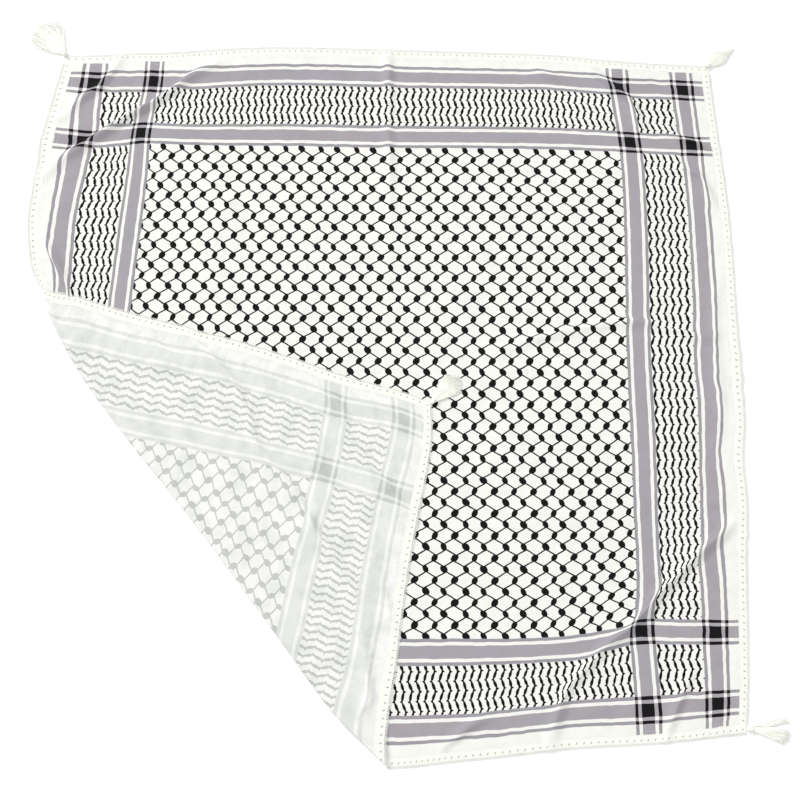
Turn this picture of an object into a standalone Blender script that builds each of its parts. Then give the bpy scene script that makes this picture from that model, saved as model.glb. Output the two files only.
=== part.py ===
"""Chequered cotton headscarf with a lace edging and a thread tassel at each corner.

The square lies flat and right side up, with its lower left corner folded over onto the middle.
X runs to the right and Y away from the viewer. The table is z = 0, and the origin is the middle
of the square. A place on the cut square is (from its left edge, from its bottom edge)."""

import math
import random

import bpy
import numpy as np
from mathutils import Matrix, Vector
from mathutils.geometry import delaunay_2d_cdt

# Driving sizes, in metres
SIDE = 1.165
WALL = 0.0012
SEAM_GAP = 0.0003
LACE_WIDTH = 0.014
PICOT_PITCH = 0.011
PICOT_REACH = 0.003
PICOT_DIP = 0.001

# The fold, from where it meets the left edge to where it meets the bottom edge
FOLD_ON_LEFT = 0.717
FOLD_ON_BOTTOM = 0.576
FOLD_RADIUS = 0.003
LAYER_GAP = 0.0004
FLAP_SETTLES_IN = 0.045
CREASES_CALM_IN = 0.030

# How finely the wall is cut into faces
GRID_STEP = 0.042
HEM_STEP = 0.042
SHORTEST_HEM_STEP = 0.006
MOST_STRAY = 0.0004
FOLD_ROW_STEP = 0.026
CREASE_STEP = 0.016
ACROSS_CREASE = (-1, -0.5, 0, 0.5, 1)
FLAT_ENOUGH = 0.001
CLEAR_OF_FOLD = 1.6
SLOPE_STEP = 0.0002

# Where the tight lace and the laying out have moved the cloth from a true square, in millimetres
PULLS = (
    # place, from left, from bottom, moved right, moved up
    ("top left corner", 0, 1165, 40, -20),
    ("top left, left edge", 0, 1100, 28, -16),
    ("top left, top edge", 125, 1165, 38, -14),
    ("top edge, past the creases", 253, 1165, 16, -7),
    ("top left, outer bands cross", 50, 1115, 38, -19),
    ("top left, left outer band", 50, 1004, 26, -11),
    ("top left, top outer band", 161, 1115, 31, -15),
    ("top left, inner bands cross", 161, 1004, 15, 1),
    ("top outer band, left", 240, 1115, 14, -12),
    ("top outer band, middle", 580, 1115, 0, 0),
    ("top outer band, right", 900, 1115, -8, -3),
    ("top inner band, left", 320, 1004, 5, 0),
    ("top inner band, middle", 580, 1004, 0, 0),
    ("top edge, left of the middle", 390, 1165, 3, 1),
    ("top edge, right of the middle", 800, 1165, -4, -4),
    ("top right corner", 1165, 1165, -20, -23),
    ("top right, outer bands cross", 1115, 1115, -17, -18),
    ("top right, right outer band", 1115, 1004, -8, -9),
    ("top right, top outer band", 1004, 1115, -15, -13),
    ("top right, inner bands cross", 1004, 1004, 0, -4),
    ("right edge, upper", 1165, 900, -5, -4),
    ("right edge, lower", 1165, 400, 1, 3),
    ("right edge, by the crease", 1165, 238, -8, 23),
    ("right outer band, middle", 1115, 580, -1, 0),
    ("right outer band, lower", 1115, 300, -13, 15),
    ("right inner band, middle", 1004, 580, 0, 0),
    ("right inner band, lower", 1004, 260, 0, 10),
    ("bottom right corner", 1165, 0, -23, 42),
    ("bottom right, outer bands cross", 1115, 50, -13, 34),
    ("bottom right, right outer band", 1115, 161, -11, 29),
    ("bottom right, bottom outer band", 1004, 50, -9, 24),
    ("bottom right, inner bands cross", 1004, 161, -12, 28),
    ("bottom edge, right", 930, 0, -6, 22),
    ("bottom edge, middle", 700, 0, -3, -1),
    ("bottom outer band, right", 890, 50, -5, 18),
    ("bottom outer band, middle", 720, 50, -2, -1),
    ("bottom inner band, right", 890, 161, -4, 5),
    ("bottom inner band, middle", 700, 161, -2, -3),
    ("fold, bottom end", 576, 0, 22, -10),
    ("fold, by its bottom end", 530, 57, 1, -5),
    ("fold, lower", 461, 143, -2, -2),
    ("fold, middle", 288, 358, 0, 0),
    ("fold, upper", 115, 574, -2, -2),
    ("fold, by its left end", 35, 673, 12, 9),
    ("fold, left end", 0, 717, 28, 14),
    ("left edge, by the fold", 0, 755, 14, 6),
    ("left edge, middle", 0, 850, 0, -1),
    ("left edge, upper", 0, 1000, 10, -8),
    ("left outer band, lower", 50, 780, 4, 0),
    ("left outer band, upper", 50, 930, 10, -4),
    ("left inner band, lower", 161, 746, 2, 0),
    ("left inner band, upper", 161, 940, 12, 0),
)

# What the folded corner is moved by once it is turned over, in millimetres
FLAP_PULLS = (
    # place, from left, from bottom, moved right, moved up
    ("corner", 0, 0, -38, -15),
    ("outer bands cross", 50, 50, -16, -4),
    ("left outer band", 50, 161, -13, -5),
    ("bottom outer band", 161, 50, -11, -7),
    ("inner bands cross", 161, 161, -3, 0),
    ("left edge, by the corner", 0, 90, -30, -10),
    ("left edge, lower", 0, 200, -20, -2),
    ("left edge, middle", 0, 350, -10, 12),
    ("left edge, upper", 0, 560, 0, 14),
    ("left edge, by the fold", 0, 665, 0, 11),
    ("bottom edge, by the corner", 150, 0, -17, -12),
    ("bottom edge, middle", 300, 0, -4, -6),
    ("bottom edge, by the fold", 450, 0, 9, 0),
    ("fold, left end", 0, 717, 0, 0),
    ("fold, upper", 144, 538, 0, 0),
    ("fold, middle", 288, 358, 0, 0),
    ("fold, lower", 432, 179, 0, 0),
    ("fold, bottom end", 576, 0, 0, 0),
)

# The soft creases, in millimetres. Each course is (from left, from bottom, rise) along its crest
CREASES = (
    # name, half width, cloth taken up, lean to the right of the course, course
    ("top left, by the corner", 13, 6, 0, (
        (98, 1165, 4), (62, 1108, 6), (38, 1083, 6), (22, 1050, 3), (0, 1030, 2),
    )),
    ("top left, long arc", 17, 9, 4, (
        (318, 1152, 0), (250, 1124, 6), (206, 1092, 8), (170, 1065, 9), (120, 1038, 8), (75, 1010, 8),
        (42, 976, 7), (15, 935, 5), (0, 915, 4),
    )),
    ("top middle, ironed line", 15, 3, 0, (
        (591, 1165, 6), (592, 1115, 6), (593, 1008, 5), (597, 889, 3), (602, 716, 0),
    )),
    ("top right, dimple", 14, 4, 0, ((842, 1146, 0), (868, 1128, 5), (898, 1116, 0))),
    ("top right, tuck", 16, 8, 3, (
        (935, 1152, 0), (962, 1139, 6), (994, 1113, 9), (1017, 1091, 9), (1027, 1058, 5), (1030, 1015, 0),
    )),
    ("top right, by the edge", 13, 6, 3, (
        (1052, 1037, 0), (1085, 1025, 6), (1112, 1016, 7), (1140, 1003, 5), (1165, 996, 3),
    )),
    ("right edge, upper", 13, 6, 3, (
        (1080, 968, 0), (1104, 957, 6), (1124, 944, 7), (1137, 912, 6), (1144, 880, 0),
    )),
    ("right outer band", 16, 4, 0, (
        (1143, 775, 0), (1134, 735, 4), (1129, 660, 5), (1133, 575, 5), (1128, 510, 4), (1122, 455, 0),
    )),
    ("right of the middle, slanting", 20, 5, 3, (
        (1150, 668, 0), (1105, 657, 4), (1050, 674, 5), (993, 682, 6), (920, 672, 4), (842, 655, 4),
        (745, 624, 0),
    )),
    ("right outer band, lower", 15, 8, 4, (
        (1140, 330, 0), (1124, 290, 6), (1128, 250, 6), (1150, 215, 4), (1165, 196, 3),
    )),
    ("bottom right, long tuck", 18, 11, 6, (
        (1118, 306, 0), (1080, 278, 7), (1053, 256, 9), (1027, 231, 11), (1004, 196, 11), (982, 170, 10),
        (950, 156, 8), (915, 128, 7), (880, 92, 8), (862, 50, 7), (850, 0, 4),
    )),
    ("bottom right, by the corner", 13, 6, 2, (
        (1078, 108, 0), (1060, 72, 6), (1045, 42, 7), (1034, 12, 4), (1031, 0, 3),
    )),
    ("bottom left, small", 13, 4, 0, ((672, 16, 0), (698, 32, 5), (732, 54, 5), (774, 64, 0))),
    ("left edge, by the flap", 13, 5, 0, ((12, 818, 0), (36, 789, 5), (56, 764, 4), (76, 742, 0))),
    ("field, left swell", 60, 3, 0, ((250, 960, 0), (300, 880, 4), (310, 790, 3), (360, 700, 0))),
    ("field, upper swell", 55, 3, 0, ((690, 960, 0), (760, 900, 4), (860, 860, 4), (930, 780, 0))),
    ("field, lower swell", 60, 3, 0, ((700, 470, 0), (790, 440, 4), (880, 360, 4), (930, 270, 0))),
    ("flap, long tuck", 16, 8, 2, (
        (-16, 455, 3), (15, 410, 6), (38, 373, 7), (68, 329, 6), (117, 295, 5), (150, 279, 5),
        (182, 241, 6), (219, 192, 7), (245, 172, 6), (313, 90, 5), (356, 76, 0),
    )),
    ("flap, top edge", 12, 4, 0, ((-14, 242, 3), (16, 204, 4), (35, 184, 4), (58, 160, 0))),
    ("flap, corner dent", 14, 5, 0, (
        (92, 156, 0), (108, 131, 4), (151, 60, 6), (179, 26, 6), (202, -16, 3),
    )),
    ("flap, right edge", 12, 4, 0, ((246, 56, 0), (265, 27, 4), (281, 8, 4), (292, -16, 3))),
    ("flap, lower band", 14, 4, 0, ((500, 24, 0), (472, 31, 4), (419, 46, 5), (380, 58, 0))),
)
# How many half widths away a crease still draws the cloth in, and how finely its course is read
CREASE_REACH = 4.0
COURSE_STEPS = 6

# The tassels: what they are tied from and how each one lies
HEAD_RADIUS = 0.0045
HEAD_HALF_HEIGHT = 0.0032
ROOTS_FILL = 0.75
STRAND_LAYERS = 3
STRANDS_IN_LAYER = 9
STRAND_SIDES = 3
STRAND_RADIUS = 0.00055
STRAND_SWELL = (0.7, 1.0, 1.0, 0.8, 0.5)
STRAND_SWAY = 0.0012
STRAND_ARCH = 0.00017
LAYER_STEP = 0.0014
LAYER_SHIFT = 0.25
FLOOR_CLEARANCE = 0.0003
TASSELS = (
    # name, corner (from left, from bottom), heading, length, half spread, shortest share; angles in degrees
    ("tassel_top_left", (0, 1), 125, 0.070, 38, 0.72),
    ("tassel_top_right", (1, 1), 33, 0.062, 12, 0.45),
    ("tassel_bottom_right", (1, 0), -2, 0.078, 24, 0.85),
    ("tassel_folded_corner", (0, 0), 38, 0.060, 14, 0.60),
)

COTTON_WHITE = (0.86, 0.87, 0.84)
LACE_IVORY = (0.84, 0.84, 0.74)
THREAD_IVORY = (0.82, 0.82, 0.72)

FOLD_LENGTH = math.hypot(FOLD_ON_LEFT, FOLD_ON_BOTTOM)
FOLD_NORMAL = np.array([FOLD_ON_LEFT, FOLD_ON_BOTTOM]) / FOLD_LENGTH
FOLD_OFFSET = FOLD_ON_LEFT * FOLD_ON_BOTTOM / FOLD_LENGTH

# Half the cloth that the bend takes up, and how many times that the rows lie from the fold line
BEND_HALF = math.pi * FOLD_RADIUS / 2
BEND_ROWS = (-3.0, -1.0, -0.6, -0.2, 0.2, 0.6, 1.0, 2.4, 4.8, 7.2, 9.6)


def smooth_step(share):
    share = np.clip(share, 0, 1)
    return share * share * (3 - 2 * share)


def thin_plate(rows):
    """A smooth sheet of shifts through the table's rows, as a function of places."""
    table = np.array([row[1:] for row in rows], float) / 1000
    places, shifts = table[:, :2], table[:, 2:]

    def kernel(here):
        square = ((here[:, None] - places[None]) ** 2).sum(axis=2)
        return square * np.log(np.maximum(square, 1e-12))

    def plane(here):
        return np.column_stack([np.ones(len(here)), here])

    known = np.zeros((len(places) + 3, len(places) + 3))
    known[:-3, :-3] = kernel(places)
    known[:-3, -3:] = plane(places)
    known[-3:, :-3] = plane(places).T
    weights = np.linalg.solve(known, np.vstack([shifts, np.zeros((3, 2))]))
    return lambda here: kernel(here) @ weights[:-3] + plane(here) @ weights[-3:]


SHEET_PULL = thin_plate(PULLS)
FLAP_PULL = thin_plate(FLAP_PULLS)


def smooth_course(course):
    """A Catmull-Rom curve through a crease's points, as rows of place and rise in metres."""
    points = np.array(course, float) / 1000
    ends = np.vstack([2 * points[0] - points[1], points, 2 * points[-1] - points[-2]])
    rows = []
    for a, b, c, d in zip(ends, ends[1:], ends[2:], ends[3:]):
        for t in np.arange(COURSE_STEPS) / COURSE_STEPS:
            bend = (2 * a - 5 * b + 4 * c - d) * t**2 + (3 * b - a - 3 * c + d) * t**3
            rows.append((2 * b + (c - a) * t + bend) / 2)
    rows.append(points[-1])
    line = np.array(rows)
    line[:, 2] = np.maximum(line[:, 2], 0)
    return line


CREASE_LINES = [
    (half / 1000, taken / 1000, lean / 1000, smooth_course(course))
    for _, half, taken, lean, course in CREASES
]


def nearest_on(line, places):
    """The offset from each place's nearest crest point, the rise there and the way to its right."""
    nearest = np.full(len(places), np.inf)
    offset = np.zeros((len(places), 2))
    rise = np.zeros(len(places))
    right = np.zeros((len(places), 2))
    for start, end in zip(line, line[1:]):
        along = end[:2] - start[:2]
        share = np.clip((places - start[:2]) @ along / (along @ along), 0, 1)
        gap = places - start[:2] - share[:, None] * along
        square = (gap**2).sum(axis=1)
        nearer = square < nearest
        nearest[nearer] = square[nearer]
        offset[nearer] = gap[nearer]
        rise[nearer] = (start[2] + share * (end[2] - start[2]))[nearer]
        right[nearer] = np.array([along[1], -along[0]]) / np.hypot(*along)
    return offset, rise, right


def crease_form(places):
    """How far the creases lift each place, and how far they move it along the table."""
    lift = np.zeros(len(places))
    moved = np.zeros((len(places), 2))
    for half_width, taken_up, lean, line in CREASE_LINES:
        reach = half_width * CREASE_REACH
        low = line[:, :2].min(axis=0) - reach
        high = line[:, :2].max(axis=0) + reach
        near = np.flatnonzero(((places > low) & (places < high)).all(axis=1))
        if not len(near):
            continue
        offset, rise, right = nearest_on(line, places[near])
        distance = np.linalg.norm(offset, axis=1)
        share = distance / half_width
        strength = rise / line[:, 2].max()
        form = np.clip(1 - share**2, 0, None) ** 2
        fading = np.clip((CREASE_REACH - share) / (CREASE_REACH - 1), 0, 1) ** 2
        pull = taken_up / 2 * strength * np.where(share < 1, share * (2 - share), fading)
        lift[near] += rise * form
        moved[near] -= offset * (pull / np.maximum(distance, 1e-9))[:, None]
        moved[near] += right * (lean * strength * form)[:, None]
    return lift, moved


def lay(places):
    """World points in the middle of the wall for places on the cut square."""
    places = np.asarray(places, float)
    lift, moved = crease_form(places)
    beyond = FOLD_OFFSET - places @ FOLD_NORMAL
    calm = smooth_step((np.abs(beyond) - BEND_HALF) / CREASES_CALM_IN)
    places = places + moved * calm[:, None]
    beyond = FOLD_OFFSET - places @ FOLD_NORMAL
    turned = np.clip((beyond + BEND_HALF) / FOLD_RADIUS, 0, math.pi)
    around = np.where(beyond < BEND_HALF, BEND_HALF - FOLD_RADIUS * np.sin(turned), beyond)
    around = np.where(beyond < -BEND_HALF, -beyond, around)
    table = places + (around + beyond)[:, None] * FOLD_NORMAL
    settled = smooth_step((beyond - BEND_HALF) / FLAP_SETTLES_IN)
    resting = WALL + LAYER_GAP
    over = np.where(beyond < BEND_HALF, FOLD_RADIUS * (1 - np.cos(turned)), 2 * FOLD_RADIUS)
    over = over - (2 * FOLD_RADIUS - resting) * settled
    plan = table - SIDE / 2 + SHEET_PULL(table) + FLAP_PULL(places) * settled[:, None]
    return np.column_stack([plan, WALL / 2 + over + lift * calm])


def wall_faces(places):
    """The right side and the wrong side of the wall, half its thickness each way."""
    middle = lay(places)
    across = lay(places + (SLOPE_STEP, 0)) - lay(places - (SLOPE_STEP, 0))
    up = lay(places + (0, SLOPE_STEP)) - lay(places - (0, SLOPE_STEP))
    normal = np.cross(across, up)
    normal /= np.linalg.norm(normal, axis=1, keepdims=True)
    return middle + normal * WALL / 2, middle - normal * WALL / 2


def material(name, colour, roughness):
    made = bpy.data.materials.new(name)
    made.use_nodes = True
    shader = made.node_tree.nodes["Principled BSDF"]
    shader.inputs["Base Color"].default_value = (*colour, 1)
    shader.inputs["Roughness"].default_value = roughness
    shader.inputs["Metallic"].default_value = 0
    return made


def add_object(name, points, faces, finish):
    mesh = bpy.data.meshes.new(name)
    mesh.from_pydata([tuple(map(float, point)) for point in points], [], faces)
    mesh.materials.append(finish)
    made = bpy.data.objects.new(name, mesh)
    bpy.context.scene.collection.objects.link(made)
    return made


def add_wall(name, outline, rows, loose, finish):
    """A closed wall over an outline of places, cut along the rows and through the loose places."""
    places = list(outline)
    edges = [(i, (i + 1) % len(outline)) for i in range(len(outline))]
    for row in rows:
        numbers = []
        for place in row:
            known = [i for i, other in enumerate(outline) if math.dist(place, other) < 1e-6]
            numbers.append(known[0] if known else len(places))
            if not known:
                places.append(place)
        edges += list(zip(numbers, numbers[1:]))
    places += list(loose)
    flat = [Vector(map(float, place)) for place in places]
    inside_constraints = 1
    spots, _, triangles, *_ = delaunay_2d_cdt(flat, edges, [], inside_constraints, 1e-7)
    right_side, wrong_side = wall_faces(np.array([tuple(spot) for spot in spots]))
    count = len(spots)
    faces = [tuple(t) for t in triangles]
    directed = {(t[i], t[(i + 1) % 3]) for t in triangles for i in range(3)}
    rim = [(a, b) for a, b in sorted(directed) if (b, a) not in directed]
    faces += [tuple(count + i for i in reversed(t)) for t in triangles]
    for a, b in rim:
        # Both sides of a seam are split the same way, so that they stay apart where the seam twists
        if sum(spots[a]) < sum(spots[b]):
            faces += [(b, a, count + b), (a, count + a, count + b)]
        else:
            faces += [(b, a, count + a), (b, count + a, count + b)]
    return add_object(name, np.vstack([right_side, wrong_side]), faces, finish)


def on_edge(edge, along, out):
    """Places along one edge, with out counted from the lace's inner line towards the edge."""
    along, out = np.broadcast_arrays(np.asarray(along, float), np.asarray(out, float))
    far = SIDE - LACE_WIDTH + out
    near = LACE_WIDTH - out
    return np.column_stack({
        "top": (along, far),
        "right": (far, along),
        "bottom": (along, near),
        "left": (near, along),
    }[edge])


def fold_crossings(edge, out):
    """Where the rows along the fold cross a line along this edge."""
    if edge not in ("left", "bottom"):
        return []
    fixed, free = (0, 1) if edge == "left" else (1, 0)
    near = LACE_WIDTH - out
    offsets = FOLD_OFFSET - BEND_HALF * np.array(BEND_ROWS)
    return sorted((offsets - near * FOLD_NORMAL[fixed]) / FOLD_NORMAL[free])


def clear_of(stations, taken, least):
    """The stations that lie far enough from all that are taken."""
    return [s for s in stations if all(abs(s - t) >= least for t in taken)]


def hem_stations(edge):
    """Distances along the hem, closer together where the cloth bends."""
    crossings = fold_crossings(edge, -SEAM_GAP)
    start = LACE_WIDTH + SEAM_GAP
    coarse = np.linspace(start, SIDE - start, round(SIDE / HEM_STEP))
    stations = [coarse[0]]
    for a, b in zip(coarse, coarse[1:]):
        pieces = 1
        while (b - a) / pieces > SHORTEST_HEM_STEP:
            ends = lay(on_edge(edge, np.linspace(a, b, pieces + 1), 0))
            middles = lay(on_edge(edge, a + (b - a) * (np.arange(pieces) + 0.5) / pieces, 0))
            if np.linalg.norm((ends[1:] + ends[:-1]) / 2 - middles, axis=1).max() < MOST_STRAY:
                break
            pieces *= 2
        stations += list(np.linspace(a, b, pieces + 1)[1:])
    if not crossings:
        return stations
    apart = clear_of(stations, crossings, SHORTEST_HEM_STEP / 2)
    return sorted([s for s in apart if not crossings[0] < s < crossings[-1]] + crossings)


HEM_STATIONS = {edge: hem_stations(edge) for edge in ("top", "right", "bottom", "left")}


def lace_stations(edge):
    """The hem's own stations, moved to where the fold's rows cross the lace's inner line."""
    moved = dict(zip(fold_crossings(edge, -SEAM_GAP), fold_crossings(edge, 0)))
    return [moved.get(s, s) for s in HEM_STATIONS[edge]]


def hem_outline():
    """The cloth's own outline, just inside the lace, anticlockwise from the lower left."""
    sides = (("bottom", 1), ("right", 1), ("top", -1), ("left", -1))
    outline = []
    for edge, way in sides:
        places = on_edge(edge, HEM_STATIONS[edge], -SEAM_GAP)[::way]
        outline += [tuple(place) for place in places[:-1]]
    return outline


def fold_rows():
    """Rows along the fold, from the left hem to the bottom hem."""
    rows = []
    left = fold_crossings("left", -SEAM_GAP)
    bottom = fold_crossings("bottom", -SEAM_GAP)
    hem = LACE_WIDTH + SEAM_GAP
    for v, u in zip(left, bottom):
        start, end = np.array([hem, v]), np.array([u, hem])
        count = round(np.linalg.norm(end - start) / FOLD_ROW_STEP)
        shares = np.linspace(0, 1, count + 1)[:, None]
        rows.append([tuple(place) for place in start + shares * (end - start)])
    return rows


def crease_places():
    """Places along each crease's crest, its flanks and its feet."""
    places = []
    for half_width, _, _, line in CREASE_LINES:
        lengths = np.linalg.norm(np.diff(line[:, :2], axis=0), axis=1)
        travelled = np.concatenate([[0], np.cumsum(lengths)])
        step = max(CREASE_STEP, half_width / 2)
        for at in np.linspace(0, travelled[-1], max(2, round(travelled[-1] / step))):
            u, v, rise = (np.interp(at, travelled, line[:, i]) for i in range(3))
            ahead = [np.interp(at + SLOPE_STEP, travelled, line[:, i]) for i in range(2)]
            behind = [np.interp(at - SLOPE_STEP, travelled, line[:, i]) for i in range(2)]
            along = np.subtract(ahead, behind)
            across = np.array([along[1], -along[0]]) / np.hypot(*along) * half_width
            shares = ACROSS_CREASE if rise > FLAT_ENOUGH else (0,)
            places += [(u + across[0] * share, v + across[1] * share) for share in shares]
    return places


def grid_places():
    count = round(SIDE / GRID_STEP)
    steps = SIDE * (np.arange(count) + 0.5) / count
    return [(u, v) for v in steps for u in steps]


def loose_places(fixed):
    """Crease and grid places that keep their distance from the fixed ones and from each other."""
    inside = LACE_WIDTH + SEAM_GAP
    kept = [np.array(place) for place in fixed]
    chosen = []
    for candidates, least in ((crease_places(), CREASE_STEP / 2), (grid_places(), GRID_STEP / 2)):
        for place in candidates:
            if min(place) < inside + least / 2 or max(place) > SIDE - inside - least / 2:
                continue
            beyond = FOLD_OFFSET - np.dot(place, FOLD_NORMAL)
            if abs(beyond - BEND_HALF) < CLEAR_OF_FOLD * BEND_HALF:
                continue
            if np.linalg.norm(np.array(kept) - place, axis=1).min() < least:
                continue
            kept.append(np.array(place))
            chosen.append(tuple(place))
    return chosen


def build_cloth(finish):
    outline = hem_outline()
    rows = fold_rows()
    fixed = outline + [place for row in rows for place in row]
    return add_wall("cloth_square", outline, rows, loose_places(fixed), finish)


def build_lace(edge, finish):
    """One strip of lace with picot points, mitred at the corners and bent with the fold."""
    inner = lace_stations(edge)
    inner[0], inner[-1] = LACE_WIDTH + SEAM_GAP, SIDE - LACE_WIDTH - SEAM_GAP
    crossings = fold_crossings(edge, LACE_WIDTH)
    count = round((SIDE - 2 * LACE_WIDTH) / PICOT_PITCH)
    valleys = LACE_WIDTH + (SIDE - 2 * LACE_WIDTH) * np.arange(count + 1) / count
    peaks = (valleys[1:] + valleys[:-1]) / 2
    outer = [(SEAM_GAP, LACE_WIDTH), (SIDE - SEAM_GAP, LACE_WIDTH)]
    outer += [(s, LACE_WIDTH - PICOT_DIP) for s in clear_of(valleys, crossings, PICOT_PITCH / 3)]
    outer += [(s, LACE_WIDTH + PICOT_REACH) for s in clear_of(peaks, crossings, PICOT_PITCH / 3)]
    if crossings:
        outer = [(s, out) for s, out in outer if not crossings[0] < s < crossings[-1]]
    outer += [(s, LACE_WIDTH) for s in crossings]
    outer.sort()
    inner_places = on_edge(edge, inner, 0)
    outer_places = on_edge(edge, [s for s, _ in outer], [out for _, out in outer])
    outline = [tuple(place) for place in np.vstack([inner_places, outer_places[::-1]])]
    starts = on_edge(edge, fold_crossings(edge, 0), 0) if crossings else []
    ends = on_edge(edge, crossings, LACE_WIDTH) if crossings else []
    rows = [(tuple(a), tuple(b)) for a, b in zip(starts, ends)]
    return add_wall(f"lace_{edge}", outline, rows, [], finish)


def strand_tube(points, radii):
    """A closed tube with few sides through the points, and its faces."""
    rings = []
    for point, radius in zip(points, radii):
        for side in range(STRAND_SIDES):
            angle = math.tau * side / STRAND_SIDES + math.pi / 2
            across, up = radius * math.cos(angle), radius * math.sin(angle)
            rings.append((point[0], point[1] + across, point[2] + up))
    faces = []
    for ring in range(len(points) - 1):
        for side in range(STRAND_SIDES):
            a = ring * STRAND_SIDES + side
            b = ring * STRAND_SIDES + (side + 1) % STRAND_SIDES
            faces.append((a, b, b + STRAND_SIDES, a + STRAND_SIDES))
    faces.append(tuple(reversed(range(STRAND_SIDES))))
    faces.append(tuple(len(rings) - STRAND_SIDES + side for side in range(STRAND_SIDES)))
    return rings, faces


def head_half_width(height):
    """Half the width of a tassel's head at a height over what it lies on."""
    from_middle = (height - FLOOR_CLEARANCE - HEAD_HALF_HEIGHT) / HEAD_HALF_HEIGHT
    return HEAD_RADIUS * math.sqrt(1 - from_middle**2)


def tassel_strands(length, half_spread, shortest, chance):
    """Every strand of one tassel, running along X from its head at the origin."""
    points, faces = [], []
    spread = math.tan(math.radians(half_spread))
    for layer in range(STRAND_LAYERS):
        wave = chance.uniform(0, math.tau)
        resting = FLOOR_CLEARANCE + STRAND_RADIUS + LAYER_STEP * layer
        root_half_width = ROOTS_FILL * head_half_width(resting)
        for number in range(STRANDS_IN_LAYER):
            column = (number + 0.5 + LAYER_SHIFT * (layer % 2)) / STRANDS_IN_LAYER * 2 - 1
            reach = length * (1 - (1 - shortest) * abs(column) ** 1.5) * chance.uniform(0.90, 1.0)
            route = []
            for along in np.linspace(0, 1, len(STRAND_SWELL)):
                sway = STRAND_SWAY * math.sin(wave + 5 * along) * along
                y = column * (root_half_width + spread * length * along) + sway
                route.append((along * reach, y, resting + STRAND_ARCH * math.sin(math.pi * along)))
            tube, tube_faces = strand_tube(route, [STRAND_RADIUS * swell for swell in STRAND_SWELL])
            faces += [tuple(len(points) + i for i in face) for face in tube_faces]
            points += tube
    return points, faces


def build_tassel(number, row, finish):
    """A knotted head seated against the lace's corner, with its strands fused into it."""
    name, corner, heading, length, half_spread, shortest = row
    turn = Matrix.Rotation(math.radians(heading), 4, "Z")
    tip = Vector(lay([(corner[0] * SIDE, corner[1] * SIDE)])[0])
    place = tip + turn @ Vector((head_half_width(WALL) + SEAM_GAP, 0, 0))
    place.z = tip.z - WALL / 2

    chance = random.Random(number)
    points, faces = tassel_strands(length, half_spread, shortest, chance)
    strands = add_object(f"{name}_strands", points, faces, finish)
    strands.hide_render = True
    strands.display_type = "WIRE"

    bpy.ops.mesh.primitive_ico_sphere_add(subdivisions=2, radius=1)
    head = bpy.context.object
    head.name = name
    head.data.name = name
    squash = Matrix.Diagonal((HEAD_RADIUS, HEAD_RADIUS, HEAD_HALF_HEIGHT, 1))
    head.data.transform(Matrix.Translation((0, 0, FLOOR_CLEARANCE + HEAD_HALF_HEIGHT)) @ squash)
    head.data.materials.append(finish)
    head.data.shade_smooth()
    for piece in (head, strands):
        piece.matrix_world = Matrix.Translation(place) @ turn
    join = head.modifiers.new("strand roots", "BOOLEAN")
    join.operation = "UNION"
    join.solver = "EXACT"
    join.use_self = True
    join.object = strands
    return head


def clear_scene():
    for old in list(bpy.data.objects):
        bpy.data.objects.remove(old, do_unlink=True)


clear_scene()
build_cloth(material("white cotton", COTTON_WHITE, 0.85))
lace_finish = material("ivory lace", LACE_IVORY, 0.9)
for edge in HEM_STATIONS:
    build_lace(edge, lace_finish)
thread_finish = material("ivory thread", THREAD_IVORY, 0.9)
for number, row in enumerate(TASSELS):
    build_tassel(number, row, thread_finish)
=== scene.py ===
"""The looks of a chequered cotton headscarf with a lace edging and corner tassels, laid flat.

Lengths are metres, and the frame is the solids' own: X right, Y away from the viewer, Z up."""

import math

import bmesh
import bpy
import numpy as np
from mathutils import Matrix, Vector


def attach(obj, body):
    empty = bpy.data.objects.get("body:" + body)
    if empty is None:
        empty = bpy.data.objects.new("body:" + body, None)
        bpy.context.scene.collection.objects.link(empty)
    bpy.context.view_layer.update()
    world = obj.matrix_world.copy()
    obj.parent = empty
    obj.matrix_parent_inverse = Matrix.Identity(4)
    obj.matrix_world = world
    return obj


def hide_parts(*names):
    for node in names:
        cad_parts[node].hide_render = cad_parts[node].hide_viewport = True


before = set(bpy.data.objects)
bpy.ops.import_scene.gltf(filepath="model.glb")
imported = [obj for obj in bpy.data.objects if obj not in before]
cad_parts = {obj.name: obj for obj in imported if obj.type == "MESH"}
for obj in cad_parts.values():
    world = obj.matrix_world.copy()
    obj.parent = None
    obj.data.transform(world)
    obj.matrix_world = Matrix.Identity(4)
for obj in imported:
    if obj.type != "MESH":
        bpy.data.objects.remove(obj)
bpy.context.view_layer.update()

# The woven square: a thin cotton cloth, pulled a little out of square by its tight lace and laid out
# by hand, so that soft creases run across it. Its lower left corner is turned over onto the middle.
# A place on the cut square is (from its left edge, from its bottom edge).
SIDE = 1.165
LACE_WIDTH = 0.014
CLOTH = 0.0005
FOLD_ON_LEFT = 0.717
FOLD_ON_BOTTOM = 0.576
FOLD_RADIUS = 0.003
LAYERS_APART = 0.0013
FLAP_SETTLES_IN = 0.045
CREASES_CALM_IN = 0.030
SLOPE_STEP = 0.0002

FOLD_LENGTH = math.hypot(FOLD_ON_LEFT, FOLD_ON_BOTTOM)
FOLD_NORMAL = np.array([FOLD_ON_LEFT, FOLD_ON_BOTTOM]) / FOLD_LENGTH
FOLD_OFFSET = FOLD_ON_LEFT * FOLD_ON_BOTTOM / FOLD_LENGTH
BEND_HALF = math.pi * FOLD_RADIUS / 2

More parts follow.
